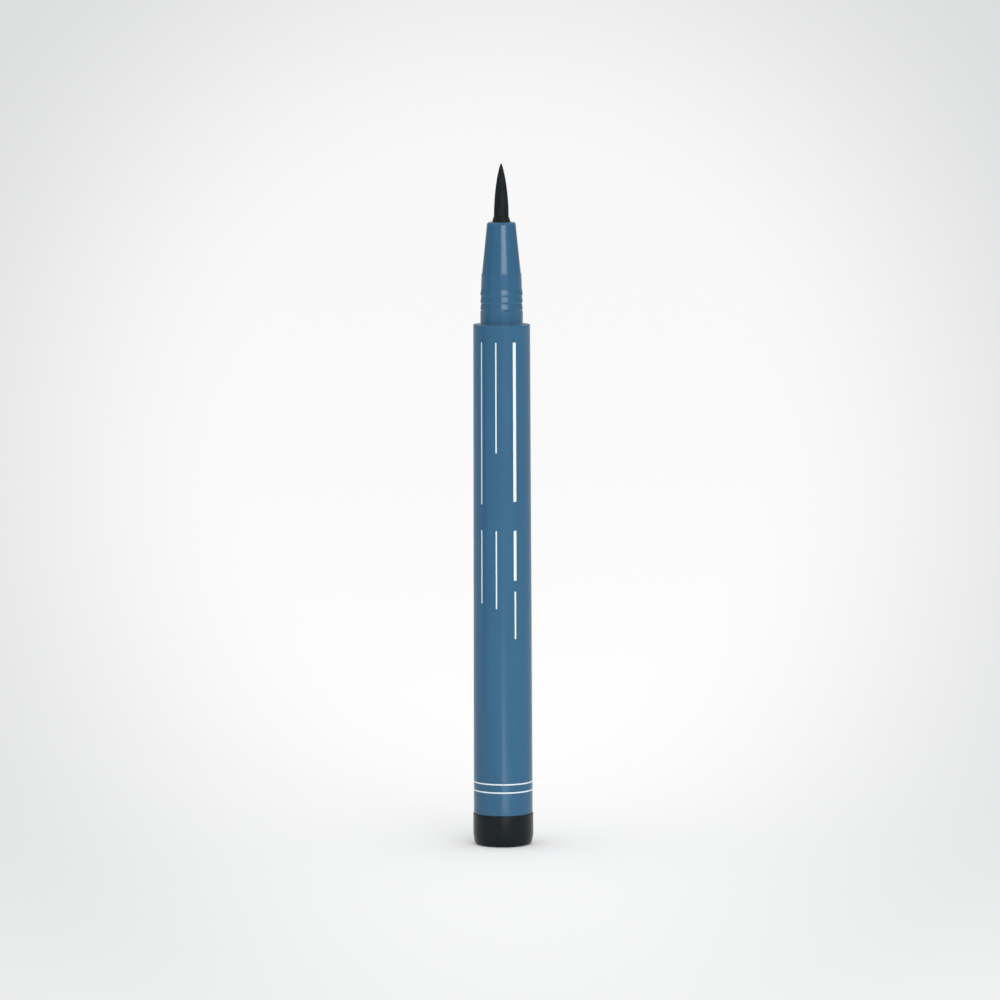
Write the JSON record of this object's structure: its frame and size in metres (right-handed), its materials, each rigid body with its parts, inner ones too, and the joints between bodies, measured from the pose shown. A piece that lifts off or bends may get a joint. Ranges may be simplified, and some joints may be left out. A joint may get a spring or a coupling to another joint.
{
  "type": "liquid eyeliner pen",
  "caption": "Slim uncapped liquid eyeliner pen: drafted barrel with a dark tail plug, stepped nose with cap beads, pointed felt tip, and a wick, finned collector and loose balls inside.",
  "frame": {"origin": "centre of the tail's flat end, on the pen's axis", "axes": "+Z along the pen's axis from the tail to the tip; the two mixing balls lie side by side along X"},
  "size_m": [0.0108, 0.0108, 0.1229],
  "materials": {
    "blue_plastic": "moulded, satin gloss",
    "black_plastic": "moulded, satin gloss",
    "inked_felt": "bonded felt soaked with black ink",
    "wick_fibre": "bonded fibre rod soaked with ink",
    "natural_plastic": "moulded, uncoloured",
    "ball_steel": "ground and polished"
  },
  "bodies": {
    "pen": {"barrel": "blue_plastic", "tail_plug": "black_plastic", "nose": "blue_plastic", "tip_holder": "black_plastic", "felt_tip": "inked_felt", "feed_wick": "wick_fibre", "collector": "natural_plastic"},
    "ball_1": {"mixing_ball_1": "ball_steel"},
    "ball_2": {"mixing_ball_2": "ball_steel"}
  },
  "joints": [
    {"name": "ball_1_shake", "type": "slide", "parent": "pen", "child": "ball_1", "axis": [0, 0, 1], "range_m": [0, 0.0442]},
    {"name": "ball_2_shake", "type": "slide", "parent": "pen", "child": "ball_2", "axis": [0, 0, 1], "range_m": [0, 0.0442]}
  ]
}
